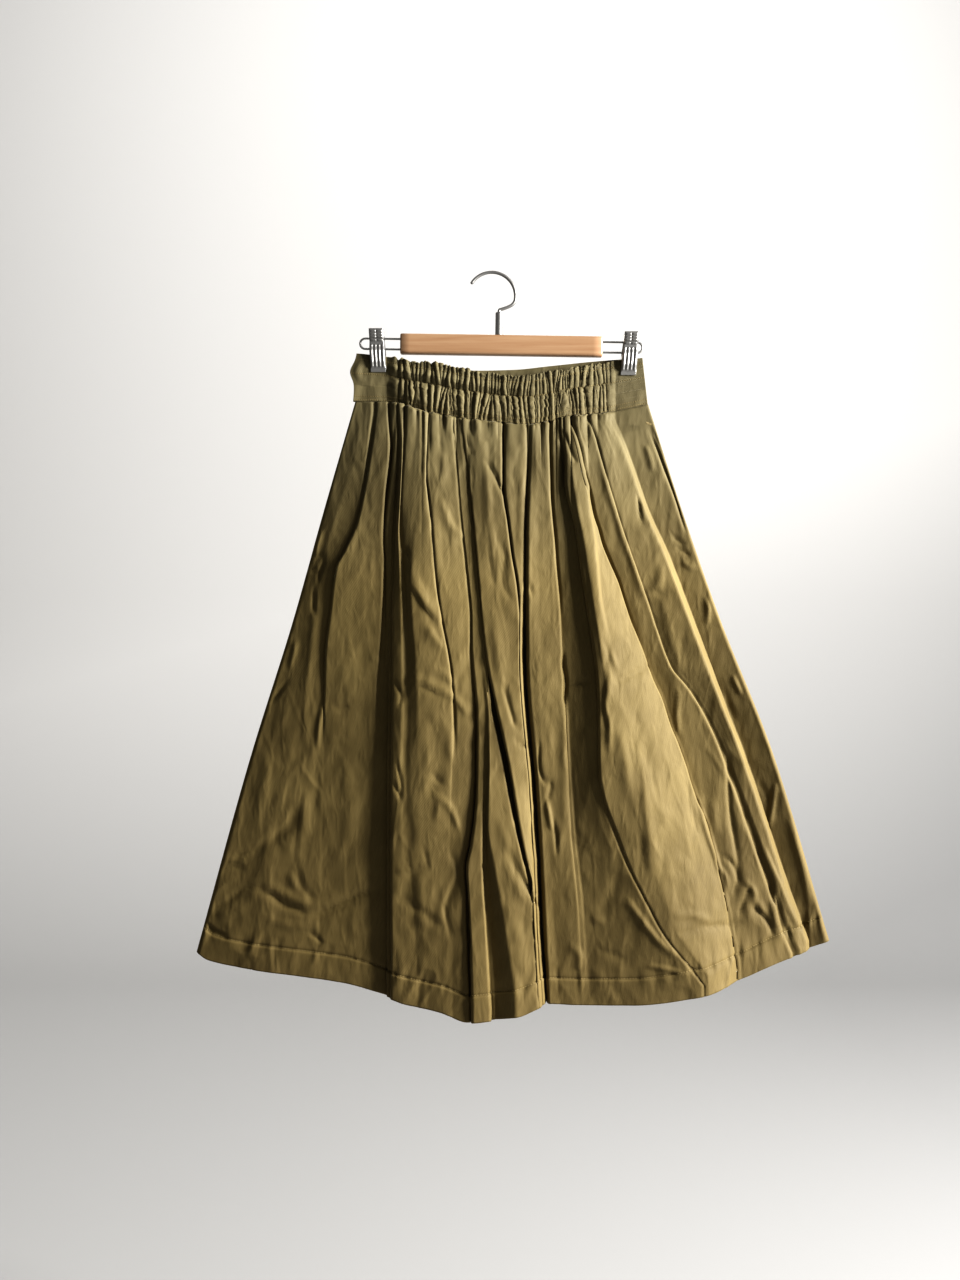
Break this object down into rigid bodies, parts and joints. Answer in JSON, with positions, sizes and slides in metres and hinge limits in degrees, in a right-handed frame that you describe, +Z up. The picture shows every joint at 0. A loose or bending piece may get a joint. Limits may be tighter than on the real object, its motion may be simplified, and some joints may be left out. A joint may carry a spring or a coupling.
{
  "type": "culottes on a clip hanger",
  "caption": "Wide-legged culottes with an elastic-gathered waistband, hung flat by clips from a wooden bar hanger with a wire hook.",
  "frame": {"origin": "the point inside the top of the hook where the hanger hangs", "axes": "+Z up, +X to the right as the front is seen, +Y away from the viewer, towards the garment's flat side"},
  "size_m": [0.7204, 0.0945, 0.8499],
  "materials": {
    "drill": "crumpled olive cotton drill, soft dry sheen",
    "beech": "clear satin varnish",
    "steel": "bright plated steel"
  },
  "bodies": {
    "root": {"leg_front_left": "drill", "leg_front_right": "drill", "leg_back_left": "drill", "leg_back_right": "drill", "waistband_front": "drill", "waistband_back": "drill", "hanger_bar": "beech", "hook": "steel", "hook_ferrule": "steel", "clip_rail_left": "steel", "clip_rail_right": "steel", "clip_jaw_front_left": "steel", "clip_jaw_back_left": "steel", "clip_spring_left": "steel", "clip_jaw_front_right": "steel", "clip_jaw_back_right": "steel", "clip_spring_right": "steel"}
  },
  "joints": []
}
